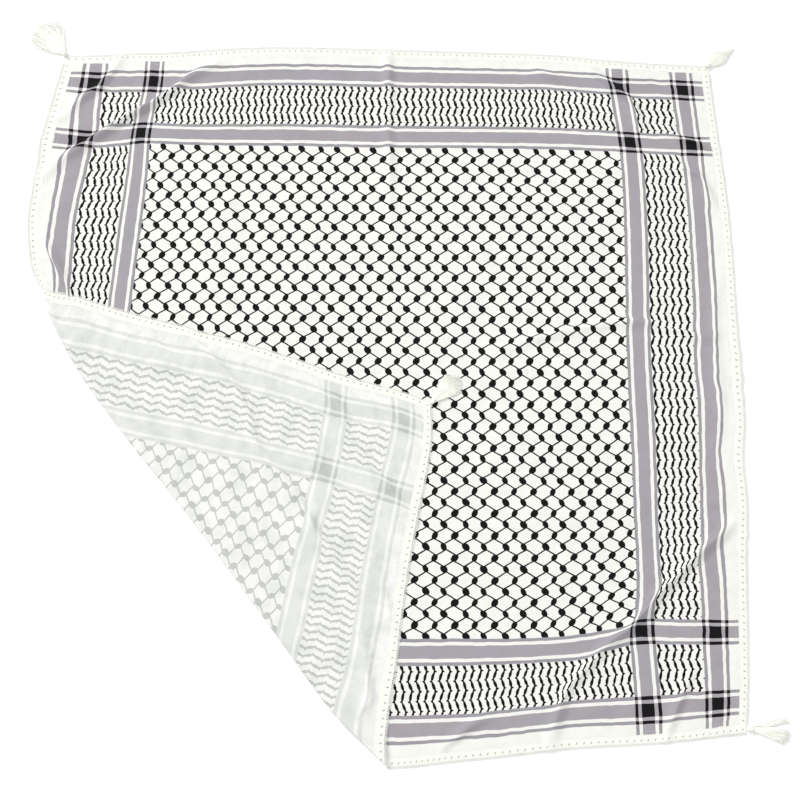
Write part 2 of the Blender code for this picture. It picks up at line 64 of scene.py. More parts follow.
# Where the cloth is moved from a true square, in millimetres, as in the solids
PULLS = (
    # place, from left, from bottom, moved right, moved up
    ("top left corner", 0, 1165, 40, -20),
    ("top left, left edge", 0, 1100, 28, -16),
    ("top left, top edge", 125, 1165, 38, -14),
    ("top edge, past the creases", 253, 1165, 16, -7),
    ("top left, outer bands cross", 50, 1115, 40, -19),
    ("top left, left outer band", 50, 1004, 30, -13),
    ("top left, top outer band", 161, 1115, 31, -15),
    ("top left, inner bands cross", 161, 1004, 15, 1),
    ("top outer band, left", 240, 1115, 14, -12),
    ("top outer band, middle", 580, 1115, 0, 0),
    ("top outer band, right", 900, 1115, -8, -3),
    ("top inner band, left", 320, 1004, 5, 0),
    ("top inner band, middle", 580, 1004, 0, 0),
    ("top edge, left of the middle", 390, 1165, 3, 1),
    ("top edge, right of the middle", 800, 1165, -4, -4),
    ("top right corner", 1165, 1165, -20, -23),
    ("top right, outer bands cross", 1115, 1115, -17, -18),
    ("top right, right outer band", 1115, 1004, -8, -9),
    ("top right, top outer band", 1004, 1115, -15, -13),
    ("top right, inner bands cross", 1004, 1004, 0, -4),
    ("right edge, upper", 1165, 900, -2, -4),
    ("right edge, above the middle", 1165, 700, 2, 0),
    ("right edge, middle", 1165, 600, 5, 0),
    ("right edge, below the middle", 1165, 500, 3, 1),
    ("right edge, lower", 1165, 410, 0, 4),
    ("right edge, by the tuck", 1165, 330, -2, 12),
    ("right edge, below the tuck", 1165, 238, -8, 23),
    ("right outer band, upper", 1115, 720, 1, 0),
    ("right outer band, middle", 1115, 580, -1, 0),
    ("right outer band, below the middle", 1115, 470, -3, 1),
    ("right outer band, lower", 1115, 300, -10, 15),
    ("right outer thin line, middle", 1133, 590, -3, 0),
    ("right outer thin line, below the middle", 1133, 470, -6, 1),
    ("right inner band, middle", 1004, 580, 0, 0),
    ("right inner band, lower", 1004, 260, 0, 10),
    ("bottom right corner", 1165, 0, -23, 42),
    ("bottom right, outer bands cross", 1115, 50, -13, 34),
    ("bottom right, right outer band", 1115, 161, -11, 29),
    ("bottom right, bottom outer band", 1004, 50, -9, 24),
    ("bottom right, inner bands cross", 1004, 161, -12, 28),
    ("bottom edge, right", 930, 0, -6, 22),
    ("bottom edge, middle", 700, 0, -3, -1),
    ("bottom outer band, right", 890, 50, -5, 18),
    ("bottom outer band, middle", 720, 50, -2, -1),
    ("bottom inner band, right", 890, 161, -4, 5),
    ("bottom inner band, middle", 700, 161, -2, -3),
    ("fold, bottom end", 576, 0, 22, -10),
    ("fold, by its bottom end", 530, 57, 1, -5),
    ("fold, lower", 461, 143, -2, -2),
    ("fold, middle", 288, 358, 0, 0),
    ("fold, upper", 115, 574, -2, -2),
    ("fold, by its left end", 35, 673, 12, 9),
    ("fold, left end", 0, 717, 28, 14),
    ("left edge, by the fold", 0, 755, 14, 6),
    ("left edge, middle", 0, 850, 0, -1),
    ("left edge, upper", 0, 1000, 10, -8),
    ("left outer band, lower", 50, 780, 10, 0),
    ("left outer band, upper", 50, 930, 17, -5),
    ("left inner band, lower", 161, 746, 0, 0),
    ("left inner band, upper", 161, 940, 13, 0),
)
FLAP_PULLS = (
    # place, from left, from bottom, moved right, moved up
    ("corner", 0, 0, -34, -14),
    ("outer bands cross", 50, 50, -14, -3),
    ("left outer band", 50, 161, -13, -5),
    ("bottom outer band", 161, 50, -11, -7),
    ("inner bands cross", 161, 161, -3, 0),
    ("left edge, by the corner", 0, 90, -28, -6),
    ("left edge, lower", 0, 200, -20, 1),
    ("left edge, middle", 0, 350, -10, 12),
    ("left edge, upper", 0, 560, 0, 14),
    ("left edge, by the fold", 0, 665, 0, 11),
    ("bottom edge, by the corner", 150, 0, -13, -11),
    ("bottom edge, middle", 300, 0, -4, -6),
    ("bottom edge, by the fold", 450, 0, 9, 0),
    ("fold, left end", 0, 717, 0, 0),
    ("fold, upper", 144, 538, 0, 0),
    ("fold, middle", 288, 358, 0, 0),
    ("fold, lower", 432, 179, 0, 0),
    ("fold, bottom end", 576, 0, 0, 0),
)
# The soft creases, in millimetres. Each course is (from left, from bottom, rise) along its crest
CREASES = (
    # name, half width, cloth taken up, lean to the right of the course, course
    ("top left, by the corner", 13, 6, 0, (
        (98, 1165, 4), (62, 1108, 6), (38, 1083, 6), (22, 1050, 3), (0, 1030, 2),
    )),
    ("top left, long arc", 17, 9, 4, (
        (318, 1152, 0), (250, 1124, 6), (206, 1092, 8), (170, 1065, 9), (120, 1038, 8), (75, 1010, 8),
        (42, 976, 7), (15, 935, 5), (0, 915, 4),
    )),
    ("top middle, ironed line", 15, 3, 0, (
        (591, 1165, 6), (592, 1115, 6), (593, 1008, 5), (597, 889, 3), (602, 716, 0),
    )),
    ("top right, dimple", 14, 4, 0, ((842, 1146, 0), (868, 1128, 5), (898, 1116, 0))),
    ("top right, tuck", 16, 8, 3, (
        (935, 1152, 0), (962, 1139, 6), (994, 1113, 9), (1017, 1091, 9), (1027, 1058, 5), (1030, 1015, 0),
    )),
    ("top right, by the edge", 13, 6, 3, (
        (1052, 1037, 0), (1085, 1025, 6), (1112, 1016, 7), (1140, 1003, 5), (1165, 996, 3),
    )),
    ("right edge, upper", 13, 6, 3, (
        (1080, 968, 0), (1104, 957, 6), (1124, 944, 7), (1137, 912, 6), (1144, 880, 0),
    )),
    ("right outer band", 16, 4, 0, (
        (1143, 775, 0), (1134, 735, 2), (1129, 660, 3), (1133, 575, 3), (1128, 510, 2), (1122, 455, 0),
    )),
    ("right of the middle, slanting", 15, 6, 3, (
        (1150, 668, 0), (1105, 657, 4), (1050, 674, 5), (993, 682, 6), (920, 672, 4), (842, 655, 4),
        (745, 624, 0),
    )),
    ("bottom right, long tuck", 18, 11, 6, (
        (1150, 362, 0), (1138, 340, 6), (1124, 320, 9), (1104, 302, 9), (1080, 280, 9), (1053, 256, 9),
        (1027, 231, 11), (1004, 196, 11), (982, 170, 10),
        (950, 156, 8), (915, 128, 7), (880, 92, 8), (862, 50, 7), (850, 0, 4),
    )),
    ("bottom right, by the corner", 13, 6, 2, (
        (1078, 108, 0), (1060, 72, 6), (1045, 42, 7), (1034, 12, 4), (1031, 0, 3),
    )),
    ("bottom left, small", 13, 4, 0, ((672, 16, 0), (698, 32, 5), (732, 54, 5), (774, 64, 0))),
    ("left edge, by the flap", 15, 9, 5, (
        (16, 846, 0), (30, 806, 6), (44, 772, 9), (58, 742, 7), (70, 716, 3),
    )),
    ("field, left swell", 60, 3, 0, ((250, 960, 0), (300, 880, 4), (310, 790, 3), (360, 700, 0))),
    ("field, upper swell", 55, 3, 0, ((690, 960, 0), (760, 900, 4), (860, 860, 4), (930, 780, 0))),
    ("field, lower swell", 60, 3, 0, ((700, 470, 0), (790, 440, 4), (880, 360, 4), (930, 270, 0))),
    ("flap, long tuck", 16, 8, 2, (
        (-16, 455, 3), (15, 410, 6), (38, 373, 7), (68, 329, 6), (117, 295, 5), (150, 279, 5),
        (182, 241, 6), (219, 192, 7), (245, 172, 6), (313, 90, 5), (356, 76, 0),
    )),
    ("flap, top edge", 12, 4, 0, ((-14, 242, 3), (16, 204, 4), (35, 184, 4), (58, 160, 0))),
    ("flap, corner dent", 14, 5, 0, (
        (92, 156, 0), (108, 131, 4), (151, 60, 6), (179, 26, 6), (202, -16, 3),
    )),
    ("flap, right edge", 12, 4, 0, ((246, 56, 0), (265, 27, 4), (281, 8, 4), (292, -16, 3))),
    ("flap, lower band", 14, 4, 0, ((500, 24, 0), (472, 31, 4), (419, 46, 5), (380, 58, 0))),
    ("flap, by the left edge", 14, 4, 0, ((8, 186, 0), (30, 168, 4), (58, 150, 5), (92, 132, 0))),
    ("flap, inner band", 16, 4, 2, ((196, 152, 0), (244, 165, 5), (281, 156, 4), (330, 132, 0))),
    ("flap, lower edge", 13, 4, 0, ((285, 56, 0), (318, 34, 4), (352, 18, 4), (384, 4, 3))),
    ("flap, by the fold", 15, 4, 0, ((436, 60, 0), (466, 36, 4), (494, 30, 4), (534, 40, 0))),
    ("flap, upper band", 15, 4, 2, ((10, 505, 0), (36, 470, 4), (56, 438, 4), (76, 400, 0))),
    ("flap, net", 26, 3, 0, ((250, 345, 0), (276, 305, 3), (300, 268, 3), (330, 218, 0))),
)
CREASE_REACH = 4.0
CREASE_AT_EDGE = 0.4
EDGE_HOLDS_IN = 0.035
COURSE_STEPS = 6
# The tight lace gathers the edges into small puckers, which fade towards the middle
PUCKER_RISE = 0.0004
PUCKER_SWAY = 0.0005
PUCKER_REACH = 0.075
PUCKER_PITCHES = (0.027, 0.043)
PUCKER_SLANT = 0.35
PUCKER_CALM_EVERY = 0.31
# Each edge's waves start at another phase and bend a little, so that no two edges look the same
PUCKER_PHASE = 2.3
PUCKER_BEND = 1.6
PUCKER_CALM_PHASE = 1.9


def smooth_step(share):
    share = np.clip(share, 0, 1)
    return share * share * (3 - 2 * share)


def thin_plate(rows):
    """A smooth sheet of shifts through the table's rows, as a function of places."""
    table = np.array([row[1:] for row in rows], float) / 1000
    places, shifts = table[:, :2], table[:, 2:]

    def kernel(here):
        square = ((here[:, None] - places[None]) ** 2).sum(axis=2)
        return square * np.log(np.maximum(square, 1e-12))

    def plane(here):
        return np.column_stack([np.ones(len(here)), here])

    known = np.zeros((len(places) + 3, len(places) + 3))
    known[:-3, :-3] = kernel(places)
    known[:-3, -3:] = plane(places)
    known[-3:, :-3] = plane(places).T
    weights = np.linalg.solve(known, np.vstack([shifts, np.zeros((3, 2))]))
    return lambda here: kernel(here) @ weights[:-3] + plane(here) @ weights[-3:]


SHEET_PULL = thin_plate(PULLS)
FLAP_PULL = thin_plate(FLAP_PULLS)


def smooth_course(course):
    """A Catmull-Rom curve through a crease's points, as rows of place and rise in metres."""
    points = np.array(course, float) / 1000
    ends = np.vstack([2 * points[0] - points[1], points, 2 * points[-1] - points[-2]])
    rows = []
    for a, b, c, d in zip(ends, ends[1:], ends[2:], ends[3:]):
        for t in np.arange(COURSE_STEPS) / COURSE_STEPS:
            bend = (2 * a - 5 * b + 4 * c - d) * t**2 + (3 * b - a - 3 * c + d) * t**3
            rows.append((2 * b + (c - a) * t + bend) / 2)
    rows.append(points[-1])
    line = np.array(rows)
    line[:, 2] = np.maximum(line[:, 2], 0)
    return line


CREASE_LINES = [
    (half / 1000, taken / 1000, lean / 1000, smooth_course(course))
    for _, half, taken, lean, course in CREASES
]


def nearest_on(line, places):
    """The offset from each place's nearest crest point, the rise there and the way to its right."""
    nearest = np.full(len(places), np.inf)
    offset = np.zeros((len(places), 2))
    rise = np.zeros(len(places))
    right = np.zeros((len(places), 2))
    for start, end in zip(line, line[1:]):
        along = end[:2] - start[:2]
        share = np.clip((places - start[:2]) @ along / (along @ along), 0, 1)
        gap = places - start[:2] - share[:, None] * along
        square = (gap**2).sum(axis=1)
        nearer = square < nearest
        nearest[nearer] = square[nearer]
        offset[nearer] = gap[nearer]
        rise[nearer] = (start[2] + share * (end[2] - start[2]))[nearer]
        right[nearer] = np.array([along[1], -along[0]]) / np.hypot(*along)
    return offset, rise, right


def pucker_form(places):
    """How far the puckers of the four edges lift each place, and how far they move it sideways."""
    lift = np.zeros(len(places))
    moved = np.zeros((len(places), 2))
    for number, (axis, side) in enumerate(((0, 0), (0, SIDE), (1, 0), (1, SIDE))):
        inward = np.abs(places[:, axis] - side)
        along = places[:, 1 - axis] + PUCKER_SLANT * inward * (1, -1)[number % 2]
        wave = sum(
            np.sin(math.tau * along / pitch + PUCKER_PHASE * number + PUCKER_BEND * np.sin(along / pitch))
            for pitch in PUCKER_PITCHES
        ) / len(PUCKER_PITCHES)
        calm = np.sin(math.tau * along / PUCKER_CALM_EVERY + PUCKER_CALM_PHASE * number)
        strength = (0.5 + 0.5 * calm) * np.exp(-((inward / PUCKER_REACH) ** 2))
        lift += PUCKER_RISE * strength * (1 + wave)
        moved[:, axis] += PUCKER_SWAY * strength * wave
    return lift, moved


def crease_form(places):
    """How far creases and puckers lift each place, and how far they move it along the table."""
    lift, moved = pucker_form(places)
    from_edge = np.minimum(places, SIDE - places).min(axis=1)
    held = CREASE_AT_EDGE + (1 - CREASE_AT_EDGE) * smooth_step(from_edge / EDGE_HOLDS_IN)
    for half_width, taken_up, lean, line in CREASE_LINES:
        reach = half_width * CREASE_REACH
        low = line[:, :2].min(axis=0) - reach
        high = line[:, :2].max(axis=0) + reach
        near = np.flatnonzero(((places > low) & (places < high)).all(axis=1))
        if not len(near):
            continue
        offset, rise, right = nearest_on(line, places[near])
        distance = np.linalg.norm(offset, axis=1)
        share = distance / half_width
        rise *= held[near]
        strength = rise / line[:, 2].max()
        form = np.clip(1 - share**2, 0, None) ** 2
        fading = np.clip((CREASE_REACH - share) / (CREASE_REACH - 1), 0, 1) ** 2
        pull = taken_up / 2 * strength * np.where(share < 1, share * (2 - share), fading)
        lift[near] += rise * form
        moved[near] -= offset * (pull / np.maximum(distance, 1e-9))[:, None]
        moved[near] += right * (lean * strength * form)[:, None]
    return lift, moved


def lay(places):
    """World points in the middle of the cloth for places on the cut square."""
    places = np.asarray(places, float)
    lift, moved = crease_form(places)
    beyond = FOLD_OFFSET - places @ FOLD_NORMAL
    calm = smooth_step((np.abs(beyond) - BEND_HALF) / CREASES_CALM_IN)
    places = places + moved * calm[:, None]
    beyond = FOLD_OFFSET - places @ FOLD_NORMAL
    turned = np.clip((beyond + BEND_HALF) / FOLD_RADIUS, 0, math.pi)
    around = np.where(beyond < BEND_HALF, BEND_HALF - FOLD_RADIUS * np.sin(turned), beyond)
    around = np.where(beyond < -BEND_HALF, -beyond, around)
    table = places + (around + beyond)[:, None] * FOLD_NORMAL
    settled = smooth_step((beyond - BEND_HALF) / FLAP_SETTLES_IN)
    over = np.where(beyond < BEND_HALF, FOLD_RADIUS * (1 - np.cos(turned)), 2 * FOLD_RADIUS)
    over = over - (2 * FOLD_RADIUS - LAYERS_APART) * settled
    plan = table - SIDE / 2 + SHEET_PULL(table) + FLAP_PULL(places) * settled[:, None]
    return np.column_stack([plan, CLOTH / 2 + over + lift * calm])


def on_cloth(places, heights):
    """World points at heights over the middle of the cloth, on its right side, never under the table."""
    across = lay(places + (SLOPE_STEP, 0)) - lay(places - (SLOPE_STEP, 0))
    up = lay(places + (0, SLOPE_STEP)) - lay(places - (0, SLOPE_STEP))
    normal = np.cross(across, up)
    normal /= np.linalg.norm(normal, axis=1, keepdims=True)
    points = lay(places) + normal * heights[:, None]
    points[:, 2] = np.maximum(points[:, 2], 0)
    return points


def new_object(name, data):
    made = bpy.data.objects.new(name, data)
    bpy.context.scene.collection.objects.link(made)
    return made


def mesh_object(name, points, faces, *materials, edges=()):
    mesh = bpy.data.meshes.new(name)
    mesh.from_pydata([tuple(map(float, point)) for point in points], edges, faces)
    for material in materials:
        mesh.materials.append(material)
    return new_object(name, mesh)


def linear(hex_colour):
    """An sRGB hex colour as linear red, green, blue and alpha."""
    parts = [int(hex_colour[i:i + 2], 16) / 255 for i in (1, 3, 5)]
    return [p / 12.92 if p <= 0.04045 else ((p + 0.055) / 1.055) ** 2.4 for p in parts] + [1.0]


def new_material(name, roughness, specular, sheen=0.0):
    """A material with its node tree and its shader."""
    material = bpy.data.materials.new(name)
    material.use_nodes = True
    shader = material.node_tree.nodes["Principled BSDF"]
    shader.inputs["Roughness"].default_value = roughness
    shader.inputs["Specular IOR Level"].default_value = specular
    shader.inputs["Sheen Weight"].default_value = sheen
    return material, material.node_tree, shader


def add(tree, kind, inputs=(), stops=(), curve=(), **settings):
    """Adds a node with its settings, colour stops or curve points, and links or sets its inputs."""
    made = tree.nodes.new(kind)
    for name, value in settings.items():
        setattr(made, name, value)
    for number, (position, colour) in enumerate(stops):
        elements = made.color_ramp.elements
        stop = elements[number] if number < len(elements) else elements.new(position)
        stop.position = position
        stop.color = linear(colour)
    for number, place in enumerate(curve):
        points = made.mapping.curves[0].points
        point = points[number] if number < len(points) else points.new(*place)
        point.location = place
        point.handle_type = "VECTOR"
    if curve:
        made.mapping.update()
    for key, value in (inputs if isinstance(inputs, dict) else dict(enumerate(inputs))).items():
        if isinstance(value, bpy.types.NodeSocket):
            tree.links.new(value, made.inputs[key])
        elif isinstance(value, bpy.types.Node):
            tree.links.new(value.outputs[0], made.inputs[key])
        else:
            made.inputs[key].default_value = value
    return made


# The woven design, in millimetres. A band is a wide dark stripe between two white lines and two thin
# dark lines. It runs round the square twice, with leaf columns between and a fishnet inside.
SIDE_MM = SIDE * 1000
DESIGN = (
    # value, operation, what it is worked out from; {} is u, from the left, and then v, from the bottom
    ("from middle {}", "SUBTRACT", "{}", SIDE_MM / 2),
    ("off middle {}", "ABSOLUTE", "from middle {}"),
    ("from side {}", "SUBTRACT", SIDE_MM / 2, "off middle {}"),
    ("from strip {}", "SUBTRACT", "from side {}", 105.5),
    ("off strip {}", "ABSOLUTE", "from strip {}"),
    ("from band {}", "SUBTRACT", "off strip {}", 55.5),
    ("off band {}", "ABSOLUTE", "from band {}"),
    ("wide {}", "LESS_THAN", "off band {}", 9.7),
    ("thin {}", "COMPARE", "off band {}", 17.5, 2.55),
    ("dark {}", "MULTIPLY_ADD", "thin {}", 1.1, "wide {}"),
    ("dark yarns", "ADD", "dark u", "dark v"),
    ("nearer band", "MINIMUM", "off band u", "off band v"),
    ("open ground", "GREATER_THAN", "nearer band", 20.2),
    ("nearest side", "MINIMUM", "from side u", "from side v"),
    ("in strip", "COMPARE", "nearest side", 105.5, 35.5),
    ("leaf ground", "MULTIPLY", "in strip", "open ground"),
    ("net ground", "GREATER_THAN", "nearest side", 181.0),

    ("past left strip", "GREATER_THAN", "u", 161.0),
    ("past field u", "GREATER_THAN", "u", 1004.0),
    ("start in field u", "MULTIPLY_ADD", "past left strip", 111.0, 69.5),
    ("start u", "MULTIPLY_ADD", "past field u", 841.5, "start in field u"),
    ("columns on", "SUBTRACT", "u", "start u"),
    ("columns", "DIVIDE", "columns on", 11.83),
    ("across column", "FRACT", "columns"),
    ("past bottom strip", "GREATER_THAN", "v", 161.0),
    ("past field v", "GREATER_THAN", "v", 1004.0),
    ("barb in field", "MULTIPLY_ADD", "past bottom strip", 96.6, 75.0),
    ("barb", "MULTIPLY_ADD", "past field v", 858.5, "barb in field"),
    ("below barb", "SUBTRACT", "barb", "v"),
    ("leaves", "DIVIDE", "below barb", 28.5),
    ("along leaf", "FRACT", "leaves"),

    ("below top row", "SUBTRACT", 979.0, "v"),
    ("rows", "DIVIDE", "below top row", 17.27),
    ("row", "ROUND", "rows"),
    ("lean row", "FLOORED_MODULO", "row", 2.0),
    ("row pairs", "DIVIDE", "row", 2.0),
    ("row pair", "FLOOR", "row pairs"),
    ("odd pair", "FLOORED_MODULO", "row pair", 2.0),
    ("off row", "SUBTRACT", "rows", "row"),
    ("below row", "MULTIPLY", "off row", 17.27),
    ("from first knot", "SUBTRACT", "u", 208.05),
    ("knots on", "DIVIDE", "from first knot", 30.1),
    ("knots", "MULTIPLY_ADD", "lean row", 0.5, "knots on"),
    ("knot", "ROUND", "knots"),
    ("odd knot", "FLOORED_MODULO", "knot", 2.0),
    ("off knot", "SUBTRACT", "knots", "knot"),
    ("paired", "MULTIPLY_ADD", "odd knot", 3.2, -1.6),
    ("straight row", "SUBTRACT", 1.0, "lean row"),
    ("pair shift", "MULTIPLY", "paired", "straight row"),
    ("from knot", "MULTIPLY", "off knot", 30.1),
    ("right of knot", "SUBTRACT", "from knot", "pair shift"),
    ("way", "MULTIPLY_ADD", "lean row", 2.0, -1.0),
    ("leaned", "MULTIPLY", "way", "below row"),
    ("along lean", "MULTIPLY_ADD", "leaned", 0.25, "right of knot"),
    ("large phase", "MAXIMUM", "lean row", "odd pair"),
    ("large", "COMPARE", "odd knot", "large phase", 0.1),
    ("half knot", "MULTIPLY_ADD", "large", 1.1, 4.5),
    ("knot share u", "DIVIDE", "along lean", "half knot"),
    ("knot share v", "DIVIDE", "below row", 5.9),
    ("knot size {}", "ABSOLUTE", "knot share {}"),
    ("knot round {}", "POWER", "knot size {}", 2.1),
    ("knot form", "ADD", "knot round u", "knot round v"),
    ("in knot", "LESS_THAN", "knot form", 1.0),

    ("gap", "FLOOR", "rows"),
    ("odd gap", "FLOORED_MODULO", "gap", 2.0),
    ("in gap", "SUBTRACT", "rows", "gap"),
    ("below knots", "MULTIPLY", "in gap", 17.27),
    ("mesh phase", "MULTIPLY_ADD", "odd gap", 19.3, -210.5),
    ("mesh along", "ADD", "u", "mesh phase"),
    ("mesh back", "PINGPONG", "mesh along", 15.05),
    ("mesh line", "MULTIPLY_ADD", "mesh back", -0.612, 4.6),
    ("from mesh", "ADD", "below knots", "mesh line"),
    ("in mesh", "COMPARE", "from mesh", 8.63, 1.3),
    ("net", "MAXIMUM", "in knot", "in mesh"),
    ("net drawn", "MULTIPLY", "net", "net ground"),
)
# How a leaf column's dark line swings and swells from one barb down to the next, as shares of the
# column's width: the first half is a fat leaf down to a thin hook, the second a slimmer one back
LEAF_MIDDLE = (
    (0.0, 0.73), (0.03, 0.66), (0.07, 0.57), (0.13, 0.51), (0.23, 0.43), (0.35, 0.36), (0.42, 0.31),
    (0.455, 0.20), (0.485, 0.165), (0.52, 0.24), (0.56, 0.35), (0.64, 0.42), (0.73, 0.47), (0.85, 0.54),
    (0.92, 0.60), (0.965, 0.71), (1.0, 0.73),
)
LEAF_HALF_WIDTH = (
    (0.0, 0.23), (0.025, 0.20), (0.05, 0.13), (0.10, 0.15), (0.20, 0.20), (0.34, 0.19), (0.415, 0.13),
    (0.44, 0.13), (0.465, 0.19), (0.51, 0.20), (0.535, 0.13), (0.60, 0.15), (0.72, 0.21), (0.84, 0.20),
    (0.92, 0.13), (0.95, 0.14), (0.97, 0.22), (1.0, 0.23),
)
# The yarns wander a little, so no woven line is quite straight
WANDER_MM = 2.6
WANDER_SCALE = 62.0
# Real threads are 0.3 mm apart. They are drawn 1.6 mm apart here, so that they just show
THREADS_APART = 0.0016


def woven_design(tree):
    """How dark the yarns are at each place: 0 is the white ground, 1 grey and 2 black."""
    chart = add(tree, "ShaderNodeUVMap", uv_map="cut square")
    scaled = add(tree, "ShaderNodeVectorMath", (chart, (SIDE_MM, SIDE_MM, 0)), operation="MULTIPLY")
    drift = add(tree, "ShaderNodeTexNoise", {"Vector": chart, "Scale": WANDER_SCALE, "Detail": 1.0})
    centred = add(
        tree, "ShaderNodeVectorMath", (drift.outputs["Color"], (0.5, 0.5, 0.5)), operation="SUBTRACT"
    )
    sway = (WANDER_MM, WANDER_MM, 0)
    wandered = add(tree, "ShaderNodeVectorMath", (centred, sway, scaled), operation="MULTIPLY_ADD")
    split = add(tree, "ShaderNodeSeparateXYZ", (wandered,))
    known = {"u": split.outputs["X"], "v": split.outputs["Y"]}
    for row in DESIGN:
        for way in ("u", "v") if "{}" in row[0] else ("",):
            value, operation, *sources = (
                item.format(way) if isinstance(item, str) else item for item in row
            )
            inputs = [known.get(source, source) for source in sources]
            known[value] = add(tree, "ShaderNodeMath", inputs, operation=operation, label=value)
    middle = add(tree, "ShaderNodeFloatCurve", (1.0, known["along leaf"]), curve=LEAF_MIDDLE)
    half = add(tree, "ShaderNodeFloatCurve", (1.0, known["along leaf"]), curve=LEAF_HALF_WIDTH)
    leaf = add(tree, "ShaderNodeMath", (known["across column"], middle, half), operation="COMPARE")
    drawn = add(tree, "ShaderNodeMath", (leaf, known["leaf ground"]), operation="MULTIPLY")
    figure = add(tree, "ShaderNodeMath", (drawn, known["net drawn"]), operation="MAXIMUM")
    black = add(tree, "ShaderNodeMath", (figure, 2.0), operation="MULTIPLY")
    yarns = add(tree, "ShaderNodeMath", (known["dark yarns"], black), operation="MAXIMUM")
    return yarns, chart, known["nearest side"]


def woven_cotton(name, ground, grey, black, painted_hollow_shade, wrinkle_height):
    """Plain-woven cotton: matt, faintly fuzzy, its dark yarns a little uneven in colour, with soft
    blotches of painted shade over it.
    """
    material, tree, shader = new_material(name, roughness=0.88, specular=0.15, sheen=0.03)
    yarns, chart, from_edge = woven_design(tree)
    tone = add(tree, "ShaderNodeMath", (yarns, 2.0), operation="DIVIDE")
    patches = add(tree, "ShaderNodeTexNoise", {"Vector": chart, "Scale": 9.0, "Detail": 3.0})
    cool, warm = (
        add(tree, "ShaderNodeValToRGB", (tone,), stops=((0, ground), (0.5, tint), (1, black)))
        for tint in grey
    )
    # Of a Mix node's inputs, 0 is the factor, and 6 and 7 are the two colours
    colour = add(tree, "ShaderNodeMix", {0: patches, 6: cool, 7: warm}, data_type="RGBA")
    # Soft blotches about 30 mm across are darkened towards the hollow colour: painted shade, as of the
    # shallow hollows of a soft cloth
    shade_blotches = add(tree, "ShaderNodeTexNoise", {"Vector": chart, "Scale": 38.0, "Detail": 3.0})
    painted_shade_veil = add(tree, "ShaderNodeValToRGB", (shade_blotches,), stops=((0.42, "#FFFFFF"), (0.68, painted_hollow_shade)))
    yarns_under_painted_shade = add(
        tree, "ShaderNodeMix", {0: 1.0, 6: colour.outputs[2], 7: painted_shade_veil},
        data_type="RGBA", blend_type="MULTIPLY",
    )
    tree.links.new(yarns_under_painted_shade.outputs[2], shader.inputs["Base Color"])
    weave = add(tree, "ShaderNodeTexChecker", {"Vector": chart, "Scale": SIDE / THREADS_APART})
    slubs = add(tree, "ShaderNodeTexNoise", {"Vector": chart, "Scale": 120.0, "Detail": 4.0})
    relief = add(tree, "ShaderNodeMath", (weave.outputs["Fac"], slubs), operation="ADD")
    fine = add(tree, "ShaderNodeBump", {"Strength": 0.12, "Distance": 0.0004, "Height": relief})
    # Small soft wrinkles about 20 mm apart, deeper in the margins, where the tight lace gathers the cloth
    wrinkles = add(tree, "ShaderNodeTexNoise", {"Vector": chart, "Scale": 52.0, "Detail": 2.0})
    depth = add(tree, "ShaderNodeMapRange", (from_edge, 20.0, 190.0, 1.0, 0.3))
    uneven = add(tree, "ShaderNodeMath", (wrinkles, depth.outputs[0]), operation="MULTIPLY")
    bump = add(tree, "ShaderNodeBump", {
        "Strength": 1.0, "Distance": wrinkle_height, "Height": uneven, "Normal": fine,
    })
    tree.links.new(bump.outputs[0], shader.inputs["Normal"])
    return material


# The fifth colour of each side is its painted shade, laid on in soft blotches
RIGHT_SIDE = woven_cotton(
    "woven cotton, right side", "#F4F4EF", ("#A3A2A9", "#ADA4AB"), "#141315", "#F9FAF8", 0.0020
)
WRONG_SIDE = woven_cotton(
    "woven cotton, wrong side", "#F3F4F1", ("#E2E4E2", "#E5E7E3"), "#C9CBC8", "#F0F1EF", 0.0030
)

# The cloth is charted as squares, with lines closer together at the hem and rows along the fold
CLOTH_SQUARES = 198
RIM = 0.0003
HEM_DEPTH = 0.0055
HEM_STEP_UP = 0.0014
HEM_LIFT = 0.00003
FOLD_ROWS = (-5, -3, -2, -1.4, *np.linspace(-1, 1, 11), 1.5, 2.4, 3.6, 4.8, 6.4, 8.0, 9.6)


def chart_lines():
    inside = LACE_WIDTH + HEM_DEPTH + HEM_STEP_UP
    hem = [LACE_WIDTH, LACE_WIDTH + RIM, LACE_WIDTH + HEM_DEPTH]
    middle = np.linspace(inside, SIDE - inside, CLOTH_SQUARES + 1)
    return hem + list(middle) + [SIDE - line for line in reversed(hem)]


def build_cloth():
    lines = chart_lines()
    count = len(lines)
    flat = [(u, v, 0) for v in lines for u in lines]
    squares = [
        (j * count + i, j * count + i + 1, (j + 1) * count + i + 1, (j + 1) * count + i)
        for j in range(count - 1) for i in range(count - 1)
    ]
    cloth = mesh_object("woven_square", flat, squares, RIGHT_SIDE, WRONG_SIDE)
    chart = bmesh.new()
    chart.from_mesh(cloth.data)
    for times in FOLD_ROWS:
        place = FOLD_NORMAL * (FOLD_OFFSET - BEND_HALF * times)
        parts = chart.verts[:] + chart.edges[:] + chart.faces[:]
        bmesh.ops.bisect_plane(
            chart, geom=parts, dist=1e-6, plane_co=(*place, 0), plane_no=(*FOLD_NORMAL, 0)
        )
    layer = chart.loops.layers.uv.new("cut square")
    for face in chart.faces:
        face.smooth = True
        for loop in face.loops:
            loop[layer].uv = loop.vert.co.xy / SIDE
    places = np.array([vert.co.xy for vert in chart.verts])
    from_hem = np.minimum(places, SIDE - places).min(axis=1) - LACE_WIDTH
    rolled = HEM_LIFT * (from_hem < HEM_DEPTH + HEM_STEP_UP / 2)
    for vert, point in zip(chart.verts, on_cloth(places, rolled)):
        vert.co = point
    chart.to_mesh(cloth.data)
    chart.free()
    shell = cloth.modifiers.new("thickness", "SOLIDIFY")
    shell.thickness = CLOTH
    shell.offset = 0
    shell.material_offset = 1
    return cloth


cloth = build_cloth()
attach(cloth, "root")
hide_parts("cloth_square")


